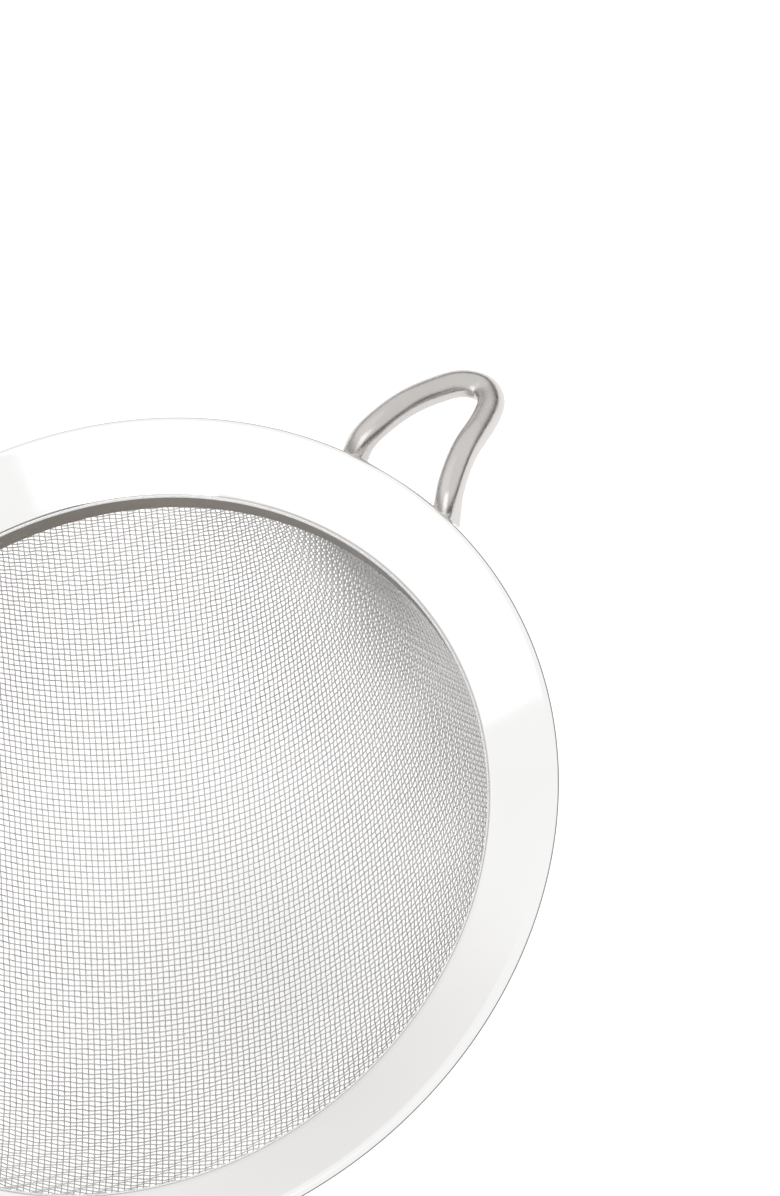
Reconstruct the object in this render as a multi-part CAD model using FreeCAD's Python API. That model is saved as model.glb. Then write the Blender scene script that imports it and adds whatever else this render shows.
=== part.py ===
import FreeCAD, Part
import math
import os

# Tea strainer: a wide dished rim, a fine woven bowl, a wire rest loop and a tubular handle.
# Frame: origin at the centre of the rim's top plane, +Z up out of the bowl, +X towards the rest loop.
# Lengths are in millimetres, angles in degrees.

V = FreeCAD.Vector
SAME = 1e-3                  # lengths closer than this count as equal

# Rim: two pressed sheets. The upper one is rolled round the lower one's outer edge.
RIM_RADIUS = 48.0            # outermost radius, at the rolled edge
SHEET = 0.4                  # thickness of both sheets
SEAM = 0.04                  # gap left between sheets that lie on each other
FLANGE_SLOPE = 22.0          # the flange falls this steeply towards the bowl
COLLAR_RADIUS = 39.7         # inner face of the collar inside the flange
COLLAR_BEND = 0.7            # mid-line radius of the bend from collar to flange
COLLAR_BOTTOM = -5.9         # height of the collar's lower edge
HEM_LIP = 1.8                # length of the rolled edge's tail under the rim

# Woven bowl, as the thin closed shell that its wires fill.
WEAVE = 0.36                 # thickness of the weave, two wires
BOWL_DEPTH = 43.9            # rim plane to the outside of the bowl's lowest point
BOWL_CAP_RADIUS = 41.0       # radius of the bowl's lower part
BOWL_SHOULDER = -5.9         # height where the bowl's wall is upright
UNDER_COLLAR_DROP = 0.3      # the lower sheet's collar ends this far above the upper one's
UNDER_BEND = 0.5             # mid-line radius of the lower sheet's bend

# Rest loop: round wire, welded under the rim.
WIRE_RADIUS = 1.5
WIRE_GAP = 0.02              # gap between a foot and the rolled edge's tail
FOOT_START = 42.6            # radius where each foot begins
FOOT_END = 46.4              # radius where each foot leaves the flange's slope
WELD_RADIUS = 0.95           # weld nugget between foot and rim
WELD_LIFT = 1.1              # from a foot's middle line up to its nugget's centre
LOOP_SECTIONS = 65           # round sections that shape the rest loop's bends
FORK_SECTIONS = 91           # the same for the handle's fork
LOOP_ROOT_HALF = 8.0         # half the distance between the feet where they begin
# Middle line of one leg, each point as distance from the bowl's axis, half width and height.
LOOP_RISE = (49.4, 6.2, 0.0)         # the leg comes out past the rim's edge and climbs
LOOP_CREST = (51.9, 5.4, 1.0)        # it levels off just above the rim
LOOP_FAR_CREST = (54.7, 4.6, 1.1)
LOOP_FALL = (57.3, 3.9, 0.3)         # from here it drops so that it hooks over a cup's lip
LOOP_SHOULDER = (59.4, 3.1, -0.5)    # the two legs begin to close
LOOP_TURN = (60.9, 2.2, -1.1)
LOOP_NOSE = (62.0, 0.0, -1.7)        # where they meet

# Handle: hairpin wire, ferrule, tapered tube and end plug on one sloping axis.
HANDLE_SLOPE = 6.0           # the handle rises this steeply away from the rim
HANDLE_START = (-60.0, -0.8) # x and z of the axis point where the fork's legs turn parallel
FORK_ROOT_HALF = 9.0         # half the distance between the fork's feet
FORK_TAPER = 0.3             # the feet close by this much for each unit of length outwards
FORK_NECK = (-7.5, 5.0, -0.45)       # one leg on its way from foot to ferrule, on the handle's axes
FORK_NECK_END = (-3.0, 3.2, -0.05)
FORK_HALF = 2.6              # half the distance between the parallel legs
FORK_STRAIGHT = 17.0         # length of the parallel legs
FORK_STRAIGHT_STEPS = 4      # points that hold each parallel leg straight
FERRULE_FROM = 2.0           # ferrule's small end, along the handle axis
FERRULE_CONE = 9.0
FERRULE_NOSE_RADIUS = 4.6
FERRULE_SPIGOT = 6.0
HOLE_CLEARANCE = 0.03        # radial gap round wires and spigots
TUBE_LENGTH = 92.0
TUBE_FRONT_RADIUS = 5.2
TUBE_BACK_RADIUS = 6.2
TUBE_WALL = 0.6
PLUG_SPIGOT = 7.0
PLUG_DOME = 5.5              # length of the dome behind the tube
TONGUE_LENGTH = 15.0         # from the tube's end to the middle of the hanging hole
TONGUE_RADIUS = 5.0          # rounded end, and half the width
TONGUE_THICKNESS = 2.4
TONGUE_ROOT = 1.0            # the tongue's flat sides begin this far inside the dome
HANG_HOLE_RADIUS = 2.5
EDGE_ROUND = 0.5             # rounding of the ferrule's nose and the tongue's edges


def cosd(angle):
    return math.cos(math.radians(angle))


def sind(angle):
    return math.sin(math.radians(angle))


def sheet_face(start, heading, moves, thickness):
    """Section of a bent sheet. Its mid-line starts at (r, z) and runs through lines and right-hand bends."""
    half = thickness / 2
    r, z = start
    left, right = [], []
    for kind, size, turn in moves:
        side = (-sind(heading), cosd(heading))
        if kind == "line":
            after = (r + size * cosd(heading), z + size * sind(heading))
            for edges, offset in ((left, half), (right, -half)):
                a = V(r + side[0] * offset, 0, z + side[1] * offset)
                b = V(after[0] + side[0] * offset, 0, after[1] + side[1] * offset)
                edges.append(Part.makeLine(a, b))
        else:
            centre = (r - side[0] * size, z - side[1] * size)
            for edges, offset in ((left, half), (right, -half)):
                points = []
                for part_turn in (0, turn / 2, turn):
                    out = (-sind(heading - part_turn), cosd(heading - part_turn))
                    reach = size + offset
                    points.append(V(centre[0] + out[0] * reach, 0, centre[1] + out[1] * reach))
                edges.append(Part.Arc(*points).toShape())
            heading -= turn
            side = (-sind(heading), cosd(heading))
            after = (centre[0] + side[0] * size, centre[1] + side[1] * size)
        r, z = after
    caps = []
    for index in (0, -1):
        a = left[index].Vertexes[index].Point
        b = right[index].Vertexes[index].Point
        caps.append(Part.makeLine(a, b))
    wire = Part.Wire(Part.__sortEdges__(left + right + caps))
    return Part.Face(wire)


def ring(face):
    """The ring that a section sweeps round the bowl's axis."""
    return face.revolve(V(0, 0, 0), V(0, 0, 1), 360)


def flange_line():
    """Outer end of the upper sheet's mid-line, just before the rolled edge, and its direction and normal."""
    hem_radius = SHEET + SEAM
    bead = hem_radius + SHEET / 2
    centre = (RIM_RADIUS - bead, -bead)
    normal = (-sind(FLANGE_SLOPE), cosd(FLANGE_SLOPE))
    end = (centre[0] + normal[0] * hem_radius, centre[1] + normal[1] * hem_radius)
    return end, (cosd(FLANGE_SLOPE), sind(FLANGE_SLOPE)), normal, hem_radius


def bend_from(mid_radius, bend, offset):
    """Height of the collar bend's centre and length of the slope, for a sheet set offset below the upper one."""
    end, along, normal, _ = flange_line()
    end = (end[0] - normal[0] * offset, end[1] - normal[1] * offset)
    length = (end[0] - normal[0] * bend - (mid_radius + bend)) / along[0]
    height = end[1] - length * along[1] - normal[1] * bend
    return height, length


def rim_top():
    """Upper sheet: collar, flange and the edge rolled under it."""
    mid_radius = COLLAR_RADIUS + SHEET / 2
    bend_height, length = bend_from(mid_radius, COLLAR_BEND, 0)
    hem_radius = flange_line()[3]
    moves = [
        ("line", bend_height - COLLAR_BOTTOM, 0),
        ("bend", COLLAR_BEND, 90 - FLANGE_SLOPE),
        ("line", length, 0),
        ("bend", hem_radius, 180),
        ("line", HEM_LIP, 0),
    ]
    return ring(sheet_face((mid_radius, COLLAR_BOTTOM), 90, moves, SHEET))


def weave_radius():
    """Mid-surface radius of the weave where it stands between the two collars."""
    return COLLAR_RADIUS + SHEET + SEAM + WEAVE / 2


def rim_under_ring():
    """Lower sheet: clamps the weave against the collar, with its outer edge inside the rolled edge."""
    mid_radius = weave_radius() + WEAVE / 2 + SEAM + SHEET / 2
    bend_height, length = bend_from(mid_radius, UNDER_BEND, SHEET + SEAM)
    bottom = COLLAR_BOTTOM + UNDER_COLLAR_DROP
    moves = [
        ("line", bend_height - bottom, 0),
        ("bend", UNDER_BEND, 90 - FLANGE_SLOPE),
        ("line", length, 0),
    ]
    return ring(sheet_face((mid_radius, bottom), 90, moves, SHEET))


def bowl_arcs(offset):
    """Edges of the bowl's wall, set outwards by offset, from its lowest point up to the shoulder."""
    wall = weave_radius()
    cap_height = -BOWL_DEPTH + WEAVE / 2 + BOWL_CAP_RADIUS
    drop = cap_height - BOWL_SHOULDER
    shoulder = (BOWL_CAP_RADIUS**2 - wall**2 - drop**2) / (2 * (BOWL_CAP_RADIUS - wall))
    centre = (wall - shoulder, BOWL_SHOULDER)
    joint = math.atan2(centre[1] - cap_height, centre[0])
    edges = []
    for middle, radius, first, last in (
        ((0, cap_height), BOWL_CAP_RADIUS + offset, -math.pi / 2, joint),
        (centre, shoulder + offset, joint, 0),
    ):
        points = []
        for angle in (first, (first + last) / 2, last):
            points.append(V(middle[0] + radius * math.cos(angle), 0, middle[1] + radius * math.sin(angle)))
        if middle[0] == 0:
            points[0].x = 0
        edges.append(Part.Arc(*points).toShape())
    return edges


def mesh_bowl():
    """Woven bowl as one thin closed shell, its edge standing between the collars."""
    bend_height, _ = bend_from(COLLAR_RADIUS + SHEET / 2, COLLAR_BEND, 0)
    top = bend_height - SEAM
    half = WEAVE / 2
    outer, inner = bowl_arcs(half), bowl_arcs(-half)
    ends = []
    for edges, offset in ((outer, half), (inner, -half)):
        radius = weave_radius() + offset
        edges.append(Part.makeLine(V(radius, 0, BOWL_SHOULDER), V(radius, 0, top)))
        ends.append(V(radius, 0, top))
    rim_edge = Part.makeLine(*ends)
    floor = -BOWL_DEPTH
    middle = Part.makeLine(V(0, 0, floor), V(0, 0, floor + WEAVE))
    return ring(Part.Face(Part.Wire(Part.__sortEdges__(outer + inner + [rim_edge, middle]))))


def foot_height(radius):
    """Height of a welded wire's middle line under the flange at this distance from the bowl's axis."""
    end, along, normal, hem_radius = flange_line()
    below = 2 * hem_radius + SHEET / 2 + WIRE_GAP + WIRE_RADIUS
    base = (end[0] - normal[0] * below, end[1] - normal[1] * below)
    return base[1] + (radius - base[0]) * along[1] / along[0]


def wire_section(centre, tangent):
    """Round section of a wire, as two half circles that meet at its sides."""
    across = V(0, 0, 1).cross(tangent).normalize()
    upper = tangent.cross(across).normalize()
    top, bottom = centre + upper * WIRE_RADIUS, centre - upper * WIRE_RADIUS
    right, left = centre + across * WIRE_RADIUS, centre - across * WIRE_RADIUS
    return Part.Wire([Part.Arc(right, bottom, left).toShape(), Part.Arc(left, top, right).toShape()])


def round_wire(points, sections):
    """Round wire bent along a smooth curve through the points."""
    path = Part.BSplineCurve()
    path.interpolate(Points=points)
    length = path.length()
    rings = []
    for index in range(sections):
        place = path.parameterAtDistance(length * index / (sections - 1), path.FirstParameter)
        rings.append(wire_section(path.value(place), V(*path.tangent(place)[0]).normalize()))
    return Part.makeLoft(rings, True, False)


def weld(radius, half, side):
    """Weld nugget that joins a foot to the lower sheet; side is +1 at the rest loop, -1 at the handle."""
    normal = flange_line()[2]
    centre = V(side * (radius + normal[0] * WELD_LIFT), half, foot_height(radius) + normal[1] * WELD_LIFT)
    return Part.makeSphere(WELD_RADIUS, centre)


def rest_loop():
    """Rounded V of wire whose two feet are welded under the rim, opposite the handle."""
    slope = (LOOP_RISE[1] - LOOP_ROOT_HALF) / (LOOP_RISE[0] - FOOT_START)

    def foot_half(radius):
        return LOOP_ROOT_HALF + (radius - FOOT_START) * slope

    feet = [FOOT_START, (FOOT_START + FOOT_END) / 2, FOOT_END]
    leg = [(r, foot_half(r), foot_height(r)) for r in feet]
    leg += [LOOP_RISE, LOOP_CREST, LOOP_FAR_CREST, LOOP_FALL, LOOP_SHOULDER, LOOP_TURN]
    path = [V(*p) for p in leg] + [V(*LOOP_NOSE)] + [V(p[0], -p[1], p[2]) for p in reversed(leg)]
    loop = round_wire(path, LOOP_SECTIONS)
    for side in (1, -1):
        loop = loop.fuse(weld(feet[1], side * foot_half(feet[1]), 1))
    return loop


def handle_frame():
    """Placement whose +X runs along the handle away from the rim, +Z up from it."""
    turn = FreeCAD.Rotation(V(0, 0, 1), 180).multiply(FreeCAD.Rotation(V(0, 1, 0), -HANDLE_SLOPE))
    return FreeCAD.Placement(V(HANDLE_START[0], 0, HANDLE_START[1]), turn)


def handle_fork():
    """Hairpin of wire: two feet welded under the rim, two parallel legs inside the ferrule and tube."""
    frame = handle_frame()
    inverse = frame.inverse()

    def spread(radius):
        return FORK_ROOT_HALF - (radius - FOOT_START) * FORK_TAPER

    feet = [FOOT_START, (FOOT_START + FOOT_END) / 2, FOOT_END]
    leg = [inverse.multVec(V(-r, -spread(r), foot_height(r))) for r in feet]
    leg += [V(*FORK_NECK), V(*FORK_NECK_END)]
    for step in range(FORK_STRAIGHT_STEPS + 1):
        leg.append(V(FORK_STRAIGHT * step / FORK_STRAIGHT_STEPS, FORK_HALF, 0))
    turn = V(FORK_STRAIGHT + FORK_HALF, 0, 0)
    mirrored = [V(p.x, -p.y, p.z) for p in reversed(leg)]
    fork = moved(round_wire(leg + [turn] + mirrored, FORK_SECTIONS), frame)
    for side in (1, -1):
        fork = fork.fuse(weld(feet[1], side * spread(feet[1]), -1))
    return fork


def moved(shape, frame):
    placed = shape.copy()
    placed.transformShape(frame.toMatrix())
    return placed


def along_handle(shape):
    """Turns a solid built round +Z so that it lies along the handle's +X."""
    turned = shape.copy()
    turned.rotate(V(0, 0, 0), V(0, 1, 0), 90)
    return turned


def ferrule():
    """Conical sleeve that the fork's legs pass through, with a spigot inside the tube."""
    cone = Part.makeCone(FERRULE_NOSE_RADIUS, TUBE_FRONT_RADIUS, FERRULE_CONE, V(0, 0, FERRULE_FROM))
    spigot_radius = TUBE_FRONT_RADIUS - TUBE_WALL - HOLE_CLEARANCE
    spigot = Part.makeCylinder(spigot_radius, FERRULE_SPIGOT, V(0, 0, FERRULE_FROM + FERRULE_CONE))
    circles = [e for e in cone.Edges if e.Curve.TypeId == "Part::GeomCircle"]
    nose = [e for e in circles if abs(e.Curve.Radius - FERRULE_NOSE_RADIUS) < SAME]
    body = cone.makeFillet(EDGE_ROUND, nose).fuse(spigot)
    length = FERRULE_CONE + FERRULE_SPIGOT
    for side in (1, -1):
        start = V(0, side * FORK_HALF, FERRULE_FROM - length)
        body = body.cut(Part.makeCylinder(WIRE_RADIUS + HOLE_CLEARANCE, 3 * length, start))
    return moved(along_handle(body), handle_frame())


def tube_start():
    return FERRULE_FROM + FERRULE_CONE + HOLE_CLEARANCE


def handle_tube():
    """Tapered tube, open at both ends until the ferrule and plug close it."""
    at = V(0, 0, tube_start())
    outer = Part.makeCone(TUBE_FRONT_RADIUS, TUBE_BACK_RADIUS, TUBE_LENGTH, at)
    inner = Part.makeCone(TUBE_FRONT_RADIUS - TUBE_WALL, TUBE_BACK_RADIUS - TUBE_WALL, TUBE_LENGTH, at)
    return moved(along_handle(outer.cut(inner)), handle_frame())


def end_plug():
    """Plug that closes the tube's far end: spigot, dome and a flat tongue with the hanging hole."""
    start = tube_start() + TUBE_LENGTH + HOLE_CLEARANCE
    taper = (TUBE_BACK_RADIUS - TUBE_FRONT_RADIUS) / TUBE_LENGTH
    inner = TUBE_BACK_RADIUS - TUBE_WALL - HOLE_CLEARANCE
    spigot = Part.makeCone(inner - PLUG_SPIGOT * taper, inner, PLUG_SPIGOT, V(0, 0, start - PLUG_SPIGOT))
    centre, side = V(0, 0, start), V(TUBE_BACK_RADIUS, 0, start)
    middle = V(TUBE_BACK_RADIUS * cosd(45), 0, start + PLUG_DOME * sind(45))
    crown = V(0, 0, start + PLUG_DOME)
    edges = [
        Part.makeLine(centre, side),
        Part.Arc(side, middle, crown).toShape(),
        Part.makeLine(crown, centre),
    ]
    dome = Part.Face(Part.Wire(edges)).revolve(V(0, 0, 0), V(0, 0, 1), 360)
    round_part = along_handle(spigot.fuse(dome))
    hole_x = start + TONGUE_LENGTH
    half = TONGUE_THICKNESS / 2
    root = V(start + TONGUE_ROOT, -TONGUE_RADIUS, -half)
    plate = Part.makeBox(TONGUE_LENGTH - TONGUE_ROOT, 2 * TONGUE_RADIUS, TONGUE_THICKNESS, root)
    disc = Part.makeCylinder(TONGUE_RADIUS, TONGUE_THICKNESS, V(hole_x, 0, -half))
    tongue = plate.fuse(disc).removeSplitter()
    tongue = tongue.makeFillet(EDGE_ROUND, [e for e in tongue.Edges if is_long_edge(e, half)])
    body = round_part.fuse(tongue)
    hole = Part.makeCylinder(HANG_HOLE_RADIUS, 3 * TONGUE_THICKNESS, V(hole_x, 0, -3 * half))
    return moved(body.cut(hole), handle_frame())


def is_long_edge(edge, half):
    """True for the tongue's long edges and round end, on its upper and lower face."""
    on_face = all(abs(abs(v.Z) - half) < SAME for v in edge.Vertexes)
    level = edge.BoundBox.ZLength < SAME
    lengthwise = edge.BoundBox.XLength > SAME
    return on_face and level and lengthwise


NODES = {
    "rim_top": rim_top,
    "rim_under_ring": rim_under_ring,
    "mesh_bowl": mesh_bowl,
    "rest_loop": rest_loop,
    "handle_fork": handle_fork,
    "ferrule": ferrule,
    "handle_tube": handle_tube,
    "end_plug": end_plug,
}

os.makedirs("parts", exist_ok=True)
for name, build in NODES.items():
    shape = build()
    solids = shape.Solids
    if len(solids) != 1 or not shape.isValid():
        raise SystemExit(f"{name}: {len(solids)} solids, valid {shape.isValid()}")
    solid = solids[0]
    if solid.Volume < 0:
        solid.reverse()
    solid.exportStep(f"parts/{name}.step")
    print(name, round(solid.Volume, 1), solid.BoundBox)
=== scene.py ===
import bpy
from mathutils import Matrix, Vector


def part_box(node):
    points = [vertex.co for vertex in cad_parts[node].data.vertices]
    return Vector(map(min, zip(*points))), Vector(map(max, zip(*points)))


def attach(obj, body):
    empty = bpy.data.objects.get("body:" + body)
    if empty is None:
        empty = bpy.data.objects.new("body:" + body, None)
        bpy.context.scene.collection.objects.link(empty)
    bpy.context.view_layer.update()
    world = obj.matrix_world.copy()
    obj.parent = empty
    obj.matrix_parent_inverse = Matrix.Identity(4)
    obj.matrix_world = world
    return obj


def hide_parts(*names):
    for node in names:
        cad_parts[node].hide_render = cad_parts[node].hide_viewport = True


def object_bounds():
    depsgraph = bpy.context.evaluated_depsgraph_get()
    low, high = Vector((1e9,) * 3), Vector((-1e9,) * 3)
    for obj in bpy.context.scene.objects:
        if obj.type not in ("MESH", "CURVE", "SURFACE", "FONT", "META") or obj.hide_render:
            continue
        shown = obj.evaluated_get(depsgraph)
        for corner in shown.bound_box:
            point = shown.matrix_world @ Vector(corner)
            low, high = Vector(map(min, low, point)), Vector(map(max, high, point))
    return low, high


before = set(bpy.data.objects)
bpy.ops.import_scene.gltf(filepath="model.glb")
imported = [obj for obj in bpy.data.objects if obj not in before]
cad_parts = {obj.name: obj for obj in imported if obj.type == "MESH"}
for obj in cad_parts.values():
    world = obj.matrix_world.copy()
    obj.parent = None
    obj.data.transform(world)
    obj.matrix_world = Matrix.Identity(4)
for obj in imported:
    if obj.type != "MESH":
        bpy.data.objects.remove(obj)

import math

import bpy
import numpy as np
from mathutils import Matrix, Vector

CAD_LOW, CAD_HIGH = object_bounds()

# Lengths are in metres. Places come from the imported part; these are the sizes of its sections.
MM = 0.001
SHEET = 0.4 * MM                # thickness of both rim sheets
SEAM = 0.04 * MM                # gap between sheets that lie on each other
FLANGE_SLOPE = math.radians(22)  # the flange falls this steeply towards the bowl
COLLAR_BEND = 0.7 * MM          # mid-line radius of the upper sheet's bend
UNDER_BEND = 0.5 * MM           # the same for the lower sheet
HEM_LIP = 1.8 * MM              # tail of the rolled edge, under the rim
LINE_STEP = 0.5 * MM            # spacing of a section's points along straight parts
BEND_STEPS = 16                 # parts of one bend
RING_STEPS = 384                # parts of a ring
CRISP_ANGLE = math.radians(40)  # edges sharper than this stay crisp

WEAVE = 0.36 * MM               # thickness of the bowl's wall in the CAD part
BOWL_CAP_RADIUS = 41.0 * MM     # radius of the bowl's lower part
PITCH = 0.675 * MM              # distance between neighbouring wires
MESH_WIRE = 0.079 * MM          # radius of one woven wire
WIRE_SIDES = 5                  # flat sides of one woven wire
FLOAT_BOW = 1.06                # a wire passing over two others bows out this much, in wire radii
NET_TURN = math.radians(-40)    # the first set of wires crosses the bowl at this angle from +X
NET_REACH = 126                 # wires each side of the middle one
CLOTH_MIDDLE = (-17.3 * MM, -5.3 * MM)  # where the cloth's middle wires cross, off the bowl's axis
WEAVE_TOP_MARGIN = 0.4 * MM     # the wires end this far under the CAD bowl's edge
SHORTEST_WIRE = 6               # shorter wires, in half pitches, are left out
MOST_FACES = 90000              # once past this many quads, a new piece of the weave begins

SAFE_RADIUS = 1e-12             # added to radii, so that a point on the axis divides by no zero
SAFE_LENGTH = 1e-15             # the same for the cloth's own lengths
SETTLE_STEPS = 3                # rounds that bring a point onto the bowl's surface
STEP_ROUNDS = 4                 # rounds that keep a wire's points one pitch apart
TURN_ROUNDS = 6                 # rounds that find a crossing of the cloth
MOST_TURN = 0.3                 # largest change of angle in one of those rounds, in radians
LEAST_RATE = 1e-9               # smallest distance gained per radian in such a round
THINNEST_CELL = 0.03            # half height of a fully sheared cell, in pitches


# ---------------------------------------------------------------- materials

NOISE_RANGE = (0.3, 0.7)        # the part of a noise texture's values that is used
CLOUD_SCALE = 60.0              # slow changes of tone over the steel
BUMP_DEPTH = 0.02 * MM
EVEN = (1, 1, 1)                # texture stretch for a finish without a direction


def new_material(name):
    """An empty material with its nodes, its links and its main shader."""
    material = bpy.data.materials.new(name)
    material.use_nodes = True
    nodes, links = material.node_tree.nodes, material.node_tree.links
    return material, nodes, links, nodes["Principled BSDF"]


def textured(nodes, links, kind, scale, stretch=(1, 1, 1), **values):
    """A texture node laid out in object space."""
    place = nodes.new("ShaderNodeTexCoord")
    mapping = nodes.new("ShaderNodeMapping")
    mapping.inputs["Scale"].default_value = stretch
    links.new(place.outputs["Object"], mapping.inputs["Vector"])
    texture = nodes.new(kind)
    texture.inputs["Scale"].default_value = scale
    for key, value in values.items():
        texture.inputs[key].default_value = value
    links.new(mapping.outputs["Vector"], texture.inputs["Vector"])
    return texture


def ramped(nodes, links, source, low, high):
    """Spreads a texture's middle range over two colours, or over two greys given as numbers."""
    ramp = nodes.new("ShaderNodeValToRGB")
    for element, position, tone in zip(ramp.color_ramp.elements, NOISE_RANGE, (low, high)):
        element.position = position
        element.color = (*tone, 1) if isinstance(tone, tuple) else (tone, tone, tone, 1)
    links.new(source, ramp.inputs["Fac"])
    return ramp.outputs["Color"]


def steel(name, light, dark, rough, rough_spread, stretch, scale, bump):
    """Stainless steel whose tone and gloss vary a little over fine polishing lines."""
    material, nodes, links, shader = new_material(name)
    shader.inputs["Metallic"].default_value = 1.0
    lines = textured(nodes, links, "ShaderNodeTexNoise", scale, stretch, Detail=6.0, Roughness=0.6)
    clouds = textured(nodes, links, "ShaderNodeTexNoise", CLOUD_SCALE, EVEN, Detail=3.0)
    links.new(ramped(nodes, links, clouds.outputs["Fac"], dark, light), shader.inputs["Base Color"])
    gloss = ramped(nodes, links, lines.outputs["Fac"], rough - rough_spread, rough + rough_spread)
    links.new(gloss, shader.inputs["Roughness"])
    if bump:
        relief = nodes.new("ShaderNodeBump")
        relief.inputs["Strength"].default_value = bump
        relief.inputs["Distance"].default_value = BUMP_DEPTH
        links.new(lines.outputs["Fac"], relief.inputs["Height"])
        links.new(relief.outputs["Normal"], shader.inputs["Normal"])
    return material


POLISHED = steel(
    "rim_polished_steel", light=(0.93, 0.925, 0.92), dark=(0.905, 0.90, 0.895),
    rough=0.07, rough_spread=0.02, stretch=EVEN, scale=900, bump=0.03,
)
# The upright collar is the same steel sheet as the polished flange; its dark colour here is painted shade.
COLLAR_PAINTED_SHADE = steel(
    "collar_steel_painted_shade", light=(0.30, 0.27, 0.245), dark=(0.24, 0.215, 0.195),
    rough=0.34, rough_spread=0.05, stretch=EVEN, scale=700, bump=0.1,
)
UNDER = steel(
    "rolled_sheet_steel", light=(0.80, 0.79, 0.77), dark=(0.72, 0.71, 0.69),
    rough=0.24, rough_spread=0.06, stretch=EVEN, scale=500, bump=0.1,
)
SATIN = steel(
    "satin_wire_steel", light=(0.60, 0.58, 0.565), dark=(0.53, 0.51, 0.495),
    rough=0.25, rough_spread=0.05, stretch=(0.25, 1, 1), scale=2600, bump=0.25,
)
WOVEN = steel(
    "drawn_wire_steel", light=(0.70, 0.69, 0.685), dark=(0.60, 0.59, 0.585),
    rough=0.26, rough_spread=0.06, stretch=EVEN, scale=1500, bump=0.0,
)
HANDLE = steel(
    "brushed_handle_steel", light=(0.78, 0.77, 0.75), dark=(0.70, 0.69, 0.67),
    rough=0.28, rough_spread=0.07, stretch=(0.04, 1, 1), scale=2400, bump=0.3,
)


# ---------------------------------------------------------------- rim

def heading_vector(angle):
    """Direction at this angle in a section's (r, z) plane."""
    return np.array([math.cos(angle), math.sin(angle)])


def left_of(angle):
    """Direction square to that heading, on its left."""
    return np.array([-math.sin(angle), math.cos(angle)])


def sheet_outline(start, moves, thickness):
    """Closed outline, as (r, z) points, of a bent sheet whose mid-line starts upright at start."""
    place, heading = np.array(start, float), math.pi / 2
    left, right = [], []
    half = thickness / 2
    for kind, size, turn in moves:
        if kind == "line":
            steps = max(2, int(size / LINE_STEP))
            for step in range(steps + 1):
                at = place + heading_vector(heading) * size * step / steps
                left.append(at + left_of(heading) * half)
                right.append(at - left_of(heading) * half)
            place = place + heading_vector(heading) * size
        else:
            centre = place - left_of(heading) * size
            for step in range(1, BEND_STEPS):
                out = left_of(heading - turn * step / BEND_STEPS)
                left.append(centre + out * (size + half))
                right.append(centre + out * (size - half))
            heading -= turn
            place = centre + left_of(heading) * size
    return left + right[::-1]


def revolved(name, outline, material):
    """Ring made by turning a closed outline round the bowl's axis."""
    outline = np.array(outline)
    count = len(outline)
    steps, points = np.arange(RING_STEPS)[:, None], np.arange(count)[None, :]
    angles = steps[:, 0] * 2 * math.pi / RING_STEPS
    verts = np.stack([
        np.outer(np.cos(angles), outline[:, 0]),
        np.outer(np.sin(angles), outline[:, 0]),
        np.tile(outline[:, 1], (RING_STEPS, 1)),
    ], axis=-1).reshape(-1, 3)
    ring, following = steps * count, (steps + 1) % RING_STEPS * count
    ahead = (points + 1) % count
    corners = [ring + points, following + points, following + ahead, ring + ahead]
    return solid_mesh(name, verts, np.stack(corners, axis=-1).reshape(-1, 4), material)


def solid_mesh(name, verts, quads, material):
    """Smooth-shaded piece made of quads, linked to the scene."""
    mesh = bpy.data.meshes.new(name)
    mesh.vertices.add(len(verts))
    mesh.vertices.foreach_set("co", np.asarray(verts, np.float32).ravel())
    mesh.loops.add(len(quads) * 4)
    mesh.loops.foreach_set("vertex_index", np.asarray(quads, np.int32).ravel())
    mesh.polygons.add(len(quads))
    mesh.polygons.foreach_set("loop_start", np.arange(len(quads), dtype=np.int32) * 4)
    mesh.polygons.foreach_set("loop_total", np.full(len(quads), 4, np.int32))
    mesh.update(calc_edges=True)
    mesh.shade_smooth()
    mesh.materials.append(material)
    piece = bpy.data.objects.new(name, mesh)
    bpy.context.scene.collection.objects.link(piece)
    return piece


def round_edges(piece):
    """Keeps the sheet's cut edges crisp while its bends shade smoothly."""
    split = piece.modifiers.new("crisp_edges", "EDGE_SPLIT")
    split.split_angle = CRISP_ANGLE


def flange_end():
    """Outer end of the upper sheet's flange, just before the rolled edge, and that edge's mid-line radius."""
    rim_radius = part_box("rim_top")[1].x
    hem = SHEET + SEAM
    bead = hem + SHEET / 2
    return np.array([rim_radius - bead, -bead]) + left_of(FLANGE_SLOPE) * hem, hem


def bend_place(mid_radius, bend, offset):
    """Height of a collar bend's centre and length of the slope, for a sheet set below the upper one."""
    end = flange_end()[0] - left_of(FLANGE_SLOPE) * offset
    along = heading_vector(FLANGE_SLOPE)
    length = (end[0] - left_of(FLANGE_SLOPE)[0] * bend - (mid_radius + bend)) / along[0]
    return end[1] - length * along[1] - left_of(FLANGE_SLOPE)[1] * bend, length


def paint_collar_shade(piece, height):
    """Gives the upright collar below the bend a rougher finish than the polished flange, and a dark colour
    that is painted shade.
    """
    mesh = piece.data
    mesh.materials.append(COLLAR_PAINTED_SHADE)
    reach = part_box("mesh_bowl")[1].x
    centres = np.zeros(len(mesh.polygons) * 3, np.float32)
    mesh.polygons.foreach_get("center", centres)
    centres = centres.reshape(-1, 3)
    # faces of the upright collar get the dark painted-shade material
    upright = (centres[:, 2] < height) & (np.hypot(centres[:, 0], centres[:, 1]) < reach)
    mesh.polygons.foreach_set("material_index", upright.astype(np.int32))


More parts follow.
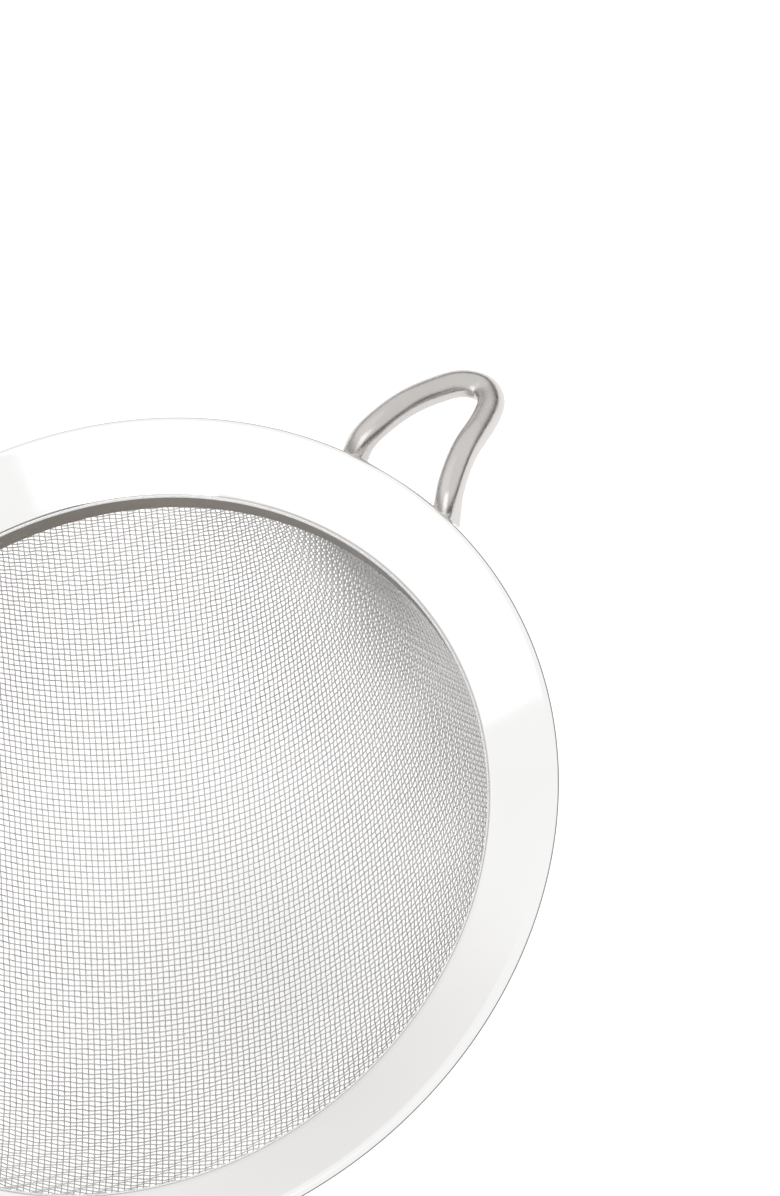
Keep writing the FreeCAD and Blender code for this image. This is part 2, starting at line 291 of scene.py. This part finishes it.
def make_rims():
    """Both pressed sheets, as rings of their bent sections."""
    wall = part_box("mesh_bowl")[1].x - WEAVE / 2
    upper = wall - WEAVE / 2 - SEAM - SHEET / 2
    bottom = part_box("rim_top")[0].z
    height, length = bend_place(upper, COLLAR_BEND, 0)
    quarter = math.pi / 2 - FLANGE_SLOPE
    moves = [("line", height - bottom, 0), ("bend", COLLAR_BEND, quarter), ("line", length, 0)]
    moves += [("bend", flange_end()[1], math.pi), ("line", HEM_LIP, 0)]
    top = revolved("rim_top_polished", sheet_outline((upper, bottom), moves, SHEET), POLISHED)
    paint_collar_shade(top, height)
    lower = wall + WEAVE / 2 + SEAM + SHEET / 2
    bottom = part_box("rim_under_ring")[0].z
    height, length = bend_place(lower, UNDER_BEND, SHEET + SEAM)
    moves = [("line", height - bottom, 0), ("bend", UNDER_BEND, quarter), ("line", length, 0)]
    under = revolved("rim_under_sheet", sheet_outline((lower, bottom), moves, SHEET), UNDER)
    for piece, node, slot in ((top, "rim_top", "polished_rim"), (under, "rim_under_ring", "under_sheet")):
        round_edges(piece)
        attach(piece, "root")
        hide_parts(node)


# ---------------------------------------------------------------- woven bowl

class Bowl:
    """Mid-surface of the bowl's wall: a round cap, a rounder shoulder and an upright edge."""

    def __init__(self):
        low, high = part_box("mesh_bowl")
        self.wall = high.x - WEAVE / 2
        self.top = high.z
        self.floor = low.z + WEAVE / 2
        self.shoulder_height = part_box("rim_top")[0].z
        self.cap_height = self.floor + BOWL_CAP_RADIUS
        drop = self.cap_height - self.shoulder_height
        rise = BOWL_CAP_RADIUS**2 - self.wall**2 - drop**2
        self.shoulder = rise / (2 * (BOWL_CAP_RADIUS - self.wall))
        self.joint = math.atan2(-drop, self.wall - self.shoulder)

    def measure(self, p):
        """Signed distance outside the surface, and its outward normal."""
        r = np.hypot(p[..., 0], p[..., 1]) + SAFE_RADIUS
        z = p[..., 2]
        on_cap = np.arctan2(z - self.cap_height, r) < self.joint
        upright = z > self.shoulder_height
        middle_r = np.where(on_cap, 0.0, self.wall - self.shoulder)
        middle_z = np.where(on_cap, self.cap_height, self.shoulder_height)
        radius = np.where(on_cap, BOWL_CAP_RADIUS, self.shoulder)
        dr, dz = r - middle_r, z - middle_z
        reach = np.hypot(dr, dz) + SAFE_RADIUS
        distance = np.where(upright, r - self.wall, reach - radius)
        nr = np.where(upright, 1.0, dr / reach)
        nz = np.where(upright, 0.0, dz / reach)
        normal = np.stack([nr * p[..., 0] / r, nr * p[..., 1] / r, nz], axis=-1)
        return distance, normal

    def settle(self, p):
        """Moves points along the normal onto the surface."""
        for _ in range(SETTLE_STEPS):
            distance, normal = self.measure(p)
            p = p - normal * distance[..., None]
        return p


def next_node(bowl, a, b, behind):
    """The point of the surface one pitch from both a and b, away from the point behind them."""
    middle = (a + b) / 2
    across = b - a
    width = np.linalg.norm(across, axis=-1)
    reach = np.sqrt(np.maximum(PITCH**2 - width**2 / 4, (THINNEST_CELL * PITCH) ** 2))
    across = across / (width[..., None] + SAFE_LENGTH)
    out = middle - behind
    out = out - across * (out * across).sum(-1, keepdims=True)
    out = out / (np.linalg.norm(out, axis=-1, keepdims=True) + SAFE_LENGTH)
    up = np.cross(across, out)
    turn = np.zeros(len(a))
    for _ in range(TURN_ROUNDS):
        ray = out * np.cos(turn)[:, None] + up * np.sin(turn)[:, None]
        p = middle + ray * reach[:, None]
        distance, normal = bowl.measure(p)
        slide = -out * np.sin(turn)[:, None] + up * np.cos(turn)[:, None]
        rate = (normal * slide).sum(-1) * reach
        rate = np.where(np.abs(rate) < LEAST_RATE, LEAST_RATE, rate)
        turn = turn - np.clip(distance / rate, -MOST_TURN, MOST_TURN)
    ray = out * np.cos(turn)[:, None] + up * np.sin(turn)[:, None]
    return middle + ray * reach[:, None]


def straight_wire(bowl, start, direction):
    """Points one pitch apart along a wire that runs straight over the surface from start."""
    _, normal = bowl.measure(start)
    step = direction - normal * (direction @ normal)
    step *= PITCH / np.linalg.norm(step)
    points = [start]
    for _ in range(NET_REACH):
        p = points[-1] + step
        for _ in range(STEP_ROUNDS):
            p = bowl.settle(p[None])[0]
            p = points[-1] + (p - points[-1]) * PITCH / np.linalg.norm(p - points[-1])
        step = p - points[-1]
        points.append(p)
    return np.array(points)


def quarter_net(bowl, first, second):
    """Crossings of a cloth of equal square cells laid over the bowl between two straight wires."""
    n = NET_REACH
    net = np.zeros((n + 1, n + 1, 3))
    net[:, 0], net[0, :] = first, second
    for total in range(2, 2 * n + 1):
        i = np.arange(max(1, total - n), min(n, total - 1) + 1)
        j = total - i
        net[i, j] = next_node(bowl, net[i - 1, j], net[i, j - 1], net[i - 1, j - 1])
    return net


def woven_net(bowl):
    """All crossings of the cloth, from the place where its two middle wires cross."""
    n = NET_REACH
    height = bowl.cap_height - math.sqrt(BOWL_CAP_RADIUS**2 - CLOTH_MIDDLE[0]**2 - CLOTH_MIDDLE[1]**2)
    start = np.array([*CLOTH_MIDDLE, height])
    _, outward = bowl.measure(start)
    along = np.array([math.cos(NET_TURN), math.sin(NET_TURN), 0])
    along = along - outward * (along @ outward)
    across = np.cross(along, -outward)
    wires = {side: straight_wire(bowl, start, along * side) for side in (1, -1)}
    cross_wires = {side: straight_wire(bowl, start, across * side) for side in (1, -1)}
    net = np.zeros((2 * n + 1, 2 * n + 1, 3))
    count = np.arange(n + 1)
    for i_side, first in wires.items():
        for j_side, second in cross_wires.items():
            rows, columns = n + i_side * count, n + j_side * count
            net[rows[:, None], columns[None, :]] = quarter_net(bowl, first, second)
    return net


def weave_height(phase):
    """Over two, under two: about +1 above and -1 below, with a slight bow along each float."""
    wave = math.sqrt(2) * np.cos(phase * math.pi / 2 - math.pi / 4)
    return np.clip(wave, -FLOAT_BOW, FLOAT_BOW)


def longest_run(inside):
    """Start and end of the longest unbroken stretch of True."""
    edges = np.flatnonzero(np.diff(np.concatenate([[0], inside.astype(int), [0]])))
    if not len(edges):
        return 0, 0
    starts, ends = edges[::2], edges[1::2]
    longest = np.argmax(ends - starts)
    return starts[longest], ends[longest]


def wire_paths(bowl, net, over):
    """Middle lines of the wires that run along the net's second index, one array of points each."""
    half_steps = np.zeros((net.shape[0], 2 * net.shape[1] - 1, 3))
    half_steps[:, ::2] = net
    half_steps[:, 1::2] = (net[:, 1:] + net[:, :-1]) / 2
    half_steps = bowl.settle(half_steps)
    _, normal = bowl.measure(half_steps)
    rows = np.arange(net.shape[0])[:, None]
    along = np.arange(half_steps.shape[1])[None, :] / 2
    lift = weave_height(rows + along) * over * MESH_WIRE
    paths = []
    limit = bowl.top - WEAVE_TOP_MARGIN
    for row in range(net.shape[0]):
        first, last = longest_run(half_steps[row, :, 2] < limit)
        if last - first < SHORTEST_WIRE:
            continue
        lifted = half_steps[row, first:last] - normal[row, first:last] * lift[row, first:last, None]
        paths.append((lifted, normal[row, first:last]))
    return paths


def wire_mesh(path, normal):
    """Round tube along one wire, open at both ends."""
    tangent = np.gradient(path, axis=0)
    tangent /= np.linalg.norm(tangent, axis=1, keepdims=True)
    across = np.cross(tangent, normal)
    across /= np.linalg.norm(across, axis=1, keepdims=True)
    up = np.cross(across, tangent)
    angles = np.arange(WIRE_SIDES) * 2 * math.pi / WIRE_SIDES + math.pi / 2
    verts = path[:, None] + MESH_WIRE * (
        np.cos(angles)[None, :, None] * across[:, None] + np.sin(angles)[None, :, None] * up[:, None]
    )
    count = len(path)
    rings = np.arange(count - 1)[:, None] * WIRE_SIDES
    side = np.arange(WIRE_SIDES)[None, :]
    ahead = (side + 1) % WIRE_SIDES
    corners = [rings + side, rings + ahead, rings + ahead + WIRE_SIDES, rings + side + WIRE_SIDES]
    return verts.reshape(-1, 3), np.stack(corners, axis=-1).reshape(-1, 4)


def weave_piece(name, verts, quads):
    """One piece of the weave, in the bowl's place."""
    piece = solid_mesh(name, np.concatenate(verts), np.concatenate(quads), WOVEN)
    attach(piece, "root")
    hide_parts("mesh_bowl")


def make_weave():
    """The woven bowl: all warp wires, then all weft wires, shared out over pieces of a moderate size."""
    bowl = Bowl()
    net = woven_net(bowl)
    for name, grid, over in (("woven_warp", net, 1.0), ("woven_weft", net.transpose(1, 0, 2), -1.0)):
        paths = wire_paths(bowl, grid, over)
        verts, quads, used, faces, number = [], [], 0, 0, 1
        for order, (path, normal) in enumerate(paths):
            wire_verts, wire_quads = wire_mesh(path, normal)
            verts.append(wire_verts)
            quads.append(wire_quads + used)
            used += len(wire_verts)
            faces += len(wire_quads)
            if faces > MOST_FACES or order == len(paths) - 1:
                weave_piece(f"{name}_{number}", verts, quads)
                verts, quads, used, faces = [], [], 0, 0
                number += 1


# ---------------------------------------------------------------- CAD pieces kept as they are

def finish_cad(node, material, crisp):
    """Gives a CAD piece its material, and crisp edges unless it is a round wire."""
    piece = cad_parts[node]
    piece.data.materials.clear()
    piece.data.materials.append(material)
    piece.data.shade_smooth()
    if crisp:
        round_edges(piece)


# ---------------------------------------------------------------- studio

FLOOR_HALF = 3.0
FLOOR_DROP = 0.1 * MM           # gap between the part's lowest point and the floor
FLOOR_TEXTURE_SCALE = 8.0
FLOOR_GLOW = 0.5                # keeps the floor white all round, as on a light table


def make_floor():
    """Pale, faintly glowing floor under the strainer."""
    mesh = bpy.data.meshes.new("studio_floor")
    low = CAD_LOW.z - FLOOR_DROP
    sides = ((-1, -1), (1, -1), (1, 1), (-1, 1))
    corners = [(x * FLOOR_HALF, y * FLOOR_HALF, low) for x, y in sides]
    mesh.from_pydata(corners, [], [(0, 1, 2, 3)])
    floor = bpy.data.objects.new("studio_floor", mesh)
    bpy.context.scene.collection.objects.link(floor)
    material, nodes, links, shader = new_material("white_floor")
    speckle = textured(nodes, links, "ShaderNodeTexNoise", FLOOR_TEXTURE_SCALE)
    links.new(ramped(nodes, links, speckle.outputs["Fac"], 0.80, 0.82), shader.inputs["Base Color"])
    shader.inputs["Roughness"].default_value = 0.9
    shader.inputs["Emission Color"].default_value = (1, 1, 1, 1)
    shader.inputs["Emission Strength"].default_value = FLOOR_GLOW
    mesh.materials.append(material)


# Tones of the room at heights above the horizon (0 level, 1 straight up).
OPEN_SIDE = ((0.0, 0.03), (0.10, 0.05), (0.24, 0.33), (0.44, 1.0))
WALL_SIDE = ((0.0, 0.45), (0.10, 0.50), (0.24, 0.65), (0.44, 1.0))
TOWARD_WALL = (-0.45, 0.89, 0)  # direction from the strainer to the pale wall
WALL_BLEND = (-0.15, 0.45)      # the open side fades into the wall between these, along that direction
MIDDLE_TINT = (1, 0.97, 0.94)   # the tones between the lowest and the highest are slightly warm
MIX_FACTOR, MIX_FIRST, MIX_SECOND, MIX_COLOUR = 0, 6, 7, 2  # a colour mix node's sockets


def by_height(nodes, links, height, stops):
    """Tone of the room at a height, from a list of (height, tone)."""
    ramp = nodes.new("ShaderNodeValToRGB")
    elements = ramp.color_ramp.elements
    (elements[0].position, low), (elements[1].position, high) = stops[0], stops[-1]
    elements[0].color, elements[1].color = (low, low, low, 1), (high, high, high, 1)
    for position, tone in stops[1:-1]:
        elements.new(position).color = (*(tone * tint for tint in MIDDLE_TINT), 1)
    links.new(height, ramp.inputs["Fac"])
    return ramp.outputs["Color"]


def make_world():
    """White room overhead and behind the strainer, dark low down on the side of the open room."""
    world = bpy.data.worlds.new("studio")
    bpy.context.scene.world = world
    world.use_nodes = True
    nodes, links = world.node_tree.nodes, world.node_tree.links
    background = nodes["Background"]
    place = nodes.new("ShaderNodeTexCoord")
    split = nodes.new("ShaderNodeSeparateXYZ")
    links.new(place.outputs["Generated"], split.inputs["Vector"])
    toward_wall = nodes.new("ShaderNodeVectorMath")
    toward_wall.operation = "DOT_PRODUCT"
    toward_wall.inputs[1].default_value = TOWARD_WALL
    links.new(place.outputs["Generated"], toward_wall.inputs[0])
    facing = nodes.new("ShaderNodeMapRange")
    facing.inputs["From Min"].default_value, facing.inputs["From Max"].default_value = WALL_BLEND
    links.new(toward_wall.outputs["Value"], facing.inputs["Value"])
    room = nodes.new("ShaderNodeMix")
    room.data_type = "RGBA"
    links.new(facing.outputs["Result"], room.inputs[MIX_FACTOR])
    for stops, socket in ((OPEN_SIDE, MIX_FIRST), (WALL_SIDE, MIX_SECOND)):
        links.new(by_height(nodes, links, split.outputs["Z"], stops), room.inputs[socket])
    links.new(room.outputs[MIX_COLOUR], background.inputs["Color"])
    background.inputs["Strength"].default_value = 1.0


def area_light(name, place, aim, size, power):
    """Rectangular softbox pointing at aim."""
    light = bpy.data.lights.new(name, "AREA")
    light.shape = "RECTANGLE"
    light.size, light.size_y = size
    light.energy = power
    lamp = bpy.data.objects.new(name, light)
    bpy.context.scene.collection.objects.link(lamp)
    lamp.location = Vector(place)
    lamp.rotation_mode = "QUATERNION"
    lamp.rotation_quaternion = (Vector(aim) - Vector(place)).to_track_quat("-Z", "Y")


def make_lights():
    """Two weak softboxes; most of the light comes from the white room."""
    strainer = (0, 0, 0)
    area_light("overhead_softbox", place=(-0.45, 0.45, 1.0), aim=strainer, size=(1.1, 1.1), power=0.5)
    area_light("left_softbox", place=(-0.9, -0.3, 0.55), aim=strainer, size=(0.6, 0.9), power=1.5)


# ---------------------------------------------------------------- camera

VIEW_AZIMUTH = math.radians(-25.7)   # round the object, 0 looks along +Y
VIEW_ELEVATION = math.radians(59.4)
VIEW_ROLL = math.radians(27.2)       # the bowl's axis leans this far left of upright
VIEW_DISTANCE = 8.664                # these three are in rim radii
VIEW_RIGHT = 0.611
VIEW_UP = 0.481
VIEW_LENS = 120.4                    # focal length in mm, on the sensor below
VIEW_SENSOR = 36
VIEW_NEAR, VIEW_FAR = 0.02, 20


def make_camera():
    """Camera at the picture's angle, aimed beside the bowl so that its upper right part fills the frame."""
    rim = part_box("rim_top")[1].x
    a, e = VIEW_AZIMUTH, VIEW_ELEVATION
    back = Vector((math.sin(a) * math.cos(e), -math.cos(a) * math.cos(e), math.sin(e)))
    turn = back.to_track_quat("Z", "Y").to_matrix()
    turn = turn @ Matrix.Rotation(-VIEW_ROLL, 3, "Z")
    right, up = turn.col[0], turn.col[1]
    data = bpy.data.cameras.new("camera")
    data.lens = VIEW_LENS
    data.sensor_width = VIEW_SENSOR
    data.clip_start, data.clip_end = VIEW_NEAR, VIEW_FAR
    camera = bpy.data.objects.new("camera", data)
    bpy.context.scene.collection.objects.link(camera)
    camera.rotation_mode = "QUATERNION"
    camera.rotation_quaternion = turn.to_quaternion()
    bead_middle = Vector((0, 0, -SHEET - SEAM - SHEET / 2))
    camera.location = bead_middle + rim * (back * VIEW_DISTANCE + right * VIEW_RIGHT + up * VIEW_UP)
    bpy.context.scene.camera = camera


bpy.context.scene.view_settings.view_transform = "Standard"
make_rims()
make_weave()
for node in ("rest_loop", "handle_fork"):
    finish_cad(node, SATIN, crisp=False)
for node in ("ferrule", "handle_tube", "end_plug"):
    finish_cad(node, HANDLE, crisp=True)
make_floor()
make_world()
make_lights()
make_camera()
